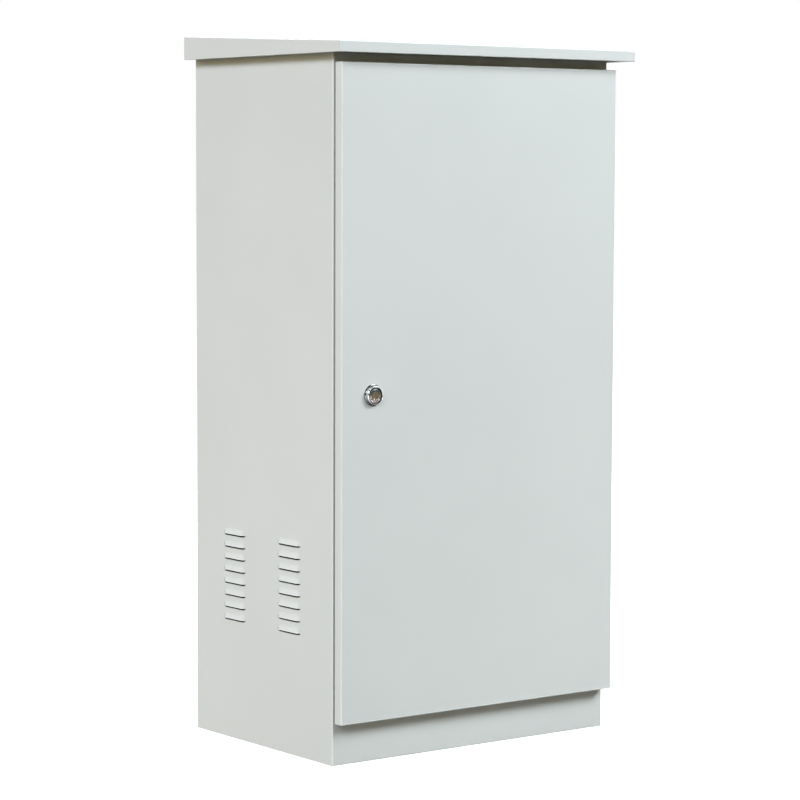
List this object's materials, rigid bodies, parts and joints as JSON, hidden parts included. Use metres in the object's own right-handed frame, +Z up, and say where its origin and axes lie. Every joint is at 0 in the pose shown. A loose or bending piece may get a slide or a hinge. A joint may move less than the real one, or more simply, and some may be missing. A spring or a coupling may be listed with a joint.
{
  "type": "roadside utility cabinet",
  "caption": "Free-standing sheet-steel roadside cabinet with louvred sides, sloping rain roof, a hinged overlay door with a rod lock, and a mounting plate inside.",
  "frame": {"origin": "middle of the footprint of the whole cabinet, on the ground", "axes": "+Z up, the door faces -Y, +X to the right of a person facing the door"},
  "size_m": [0.646, 0.472, 1.239],
  "materials": {
    "paint": "satin powder coat, light grey",
    "zinc": "zinc plated",
    "chrome": "polished",
    "lock_face": "polished, brownish",
    "seal": "matte foam",
    "black_plastic": "moulded",
    "grey_plastic": "moulded",
    "red_plastic": "moulded",
    "copper": "drawn copper",
    "brass": "plain",
    "filter": "fibre mat"
  },
  "bodies": {
    "cabinet": {"body_shell": "paint", "front_plinth": "paint", "top_plate": "paint", "floor_plate": "paint", "anchor_rail_left": "paint", "anchor_rail_right": "paint", "roof_cover": "paint", "roof_rib_left": "paint", "roof_rib_right": "paint", "roof_bolts": "zinc", "roof_nuts": "zinc", "door_gasket": "seal", "hinge_bracket_upper": "zinc", "hinge_bracket_middle": "zinc", "hinge_bracket_lower": "zinc", "hinge_screws": "zinc", "mounting_plate": "zinc", "mounting_studs": "zinc", "mounting_nuts": "zinc", "din_rail_upper": "zinc", "din_rail_middle": "zinc", "din_rail_lower": "zinc", "din_rail_screws": "zinc", "earth_bar": "copper", "earth_bar_standoffs": "red_plastic", "earth_bar_screws": "brass", "cable_clamp_rail": "zinc", "clamp_bracket_left": "zinc", "clamp_bracket_right": "zinc", "gland_plate": "zinc", "gland_plate_screws": "zinc", "cable_glands": "black_plastic", "gland_locknuts": "black_plastic", "filter_frame_left": "paint", "filter_pad_left": "filter", "filter_frame_right": "paint", "filter_pad_right": "filter", "body_earth_stud": "brass"},
    "door": {"door_panel": "paint", "door_stiffener": "paint", "hinge_leaf_upper": "zinc", "hinge_leaf_middle": "zinc", "hinge_leaf_lower": "zinc", "hinge_pins": "zinc", "lock_housing": "chrome", "lock_nut": "zinc", "rod_guide_top": "zinc", "rod_guide_upper": "zinc", "rod_guide_lower": "zinc", "rod_guide_bottom": "zinc", "document_pocket": "grey_plastic", "door_earth_stud": "brass"},
    "lock_core": {"lock_plug": "lock_face", "lock_cam": "zinc", "cam_nut": "zinc"},
    "upper_rod": {"upper_lock_rod": "zinc"},
    "lower_rod": {"lower_lock_rod": "zinc"}
  },
  "joints": [
    {"name": "door_hinge", "type": "hinge", "parent": "cabinet", "child": "door", "pos_m": [0.2915, -0.2015, 0.628], "axis": [0, 0, 1], "range_deg": [0, 110]},
    {"name": "lock_turn", "type": "hinge", "parent": "door", "child": "lock_core", "pos_m": [-0.235, -0.211, 0.628], "axis": [0, -1, 0], "range_deg": [0, 90]},
    {"name": "upper_rod_slide", "type": "slide", "parent": "door", "child": "upper_rod", "axis": [0, 0, 1], "range_m": [0, 0.03111]},
    {"name": "lower_rod_slide", "type": "slide", "parent": "door", "child": "lower_rod", "axis": [0, 0, -1], "range_m": [0, 0.0312]}
  ],
  "couplings": [
    {"joint": "lock_turn", "follows": "upper_rod_slide", "rad_per_m": 50.487},
    {"joint": "lower_rod_slide", "follows": "upper_rod_slide", "ratio": 1}
  ]
}
